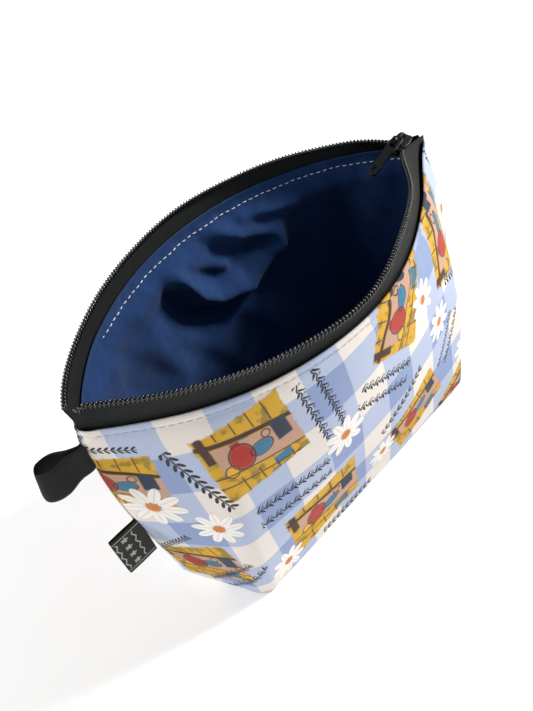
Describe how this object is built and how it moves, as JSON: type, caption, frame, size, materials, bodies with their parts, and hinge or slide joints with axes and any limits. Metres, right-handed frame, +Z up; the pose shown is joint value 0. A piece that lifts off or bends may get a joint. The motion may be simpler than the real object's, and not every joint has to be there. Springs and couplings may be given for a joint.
{
  "type": "makeup bag",
  "caption": "Padded cotton zip pouch on a flat boxed base, standing open, with a webbing loop and a folded label in one side seam.",
  "frame": {"origin": "middle of the base's outer face, on the surface the bag stands on", "axes": "+X along the zip towards the end where the slider rests, -Y to the front, +Z up"},
  "size_m": [0.2199, 0.1068, 0.1269],
  "materials": {
    "printed_cotton": "plain-weave cotton printed with blue and cream gingham, daisies and small picture tiles",
    "fleece": "soft needled wadding",
    "lining_cotton": "plain navy cotton",
    "zip_tape": "black twill zip tape",
    "zip_coil": "black nylon coil",
    "slider_enamel": "black gloss enamel",
    "webbing": "black ribbed webbing",
    "label_weave": "black woven label with a pale grey motif",
    "thread": "white polyester sewing thread"
  },
  "bodies": {
    "bag": {"front_outer_panel": "printed_cotton", "back_outer_panel": "printed_cotton", "front_fleece": "fleece", "back_fleece": "fleece", "front_lining": "lining_cotton", "back_lining": "lining_cotton", "front_zip_tape": "zip_tape", "back_zip_tape": "zip_tape", "front_zip_coil": "zip_coil", "back_zip_coil": "zip_coil", "front_top_stitch": "thread", "back_top_stitch": "thread", "left_side_seam_thread": "thread", "right_side_seam_thread": "thread", "left_lining_seam_thread": "thread", "right_lining_seam_thread": "thread", "base_seam_thread": "thread", "lining_base_seam_thread": "thread"},
    "slider": {"zip_slider_body": "slider_enamel"},
    "pull": {"zip_pull_tab": "slider_enamel"},
    "loop": {"side_loop": "webbing"},
    "label": {"side_label": "label_weave"}
  },
  "joints": [
    {"name": "zip_travel", "type": "slide", "parent": "bag", "child": "slider", "axis": [-1, 0, 0], "range_m": [0, 0.155]},
    {"name": "pull_flip", "type": "hinge", "parent": "slider", "child": "pull", "pos_m": [0.0856, 0.013, 0.12535], "axis": [0, 1, 0], "range_deg": [0, 195]},
    {"name": "loop_swing", "type": "hinge", "parent": "bag", "child": "loop", "pos_m": [-0.10067, 0.00886, 0.102], "axis": [0, 0, 1], "range_deg": [-45, 90]},
    {"name": "label_swing", "type": "hinge", "parent": "bag", "child": "label", "pos_m": [-0.09928, 0.00371, 0.045], "axis": [0, 0, 1], "range_deg": [-70, 70]}
  ]
}
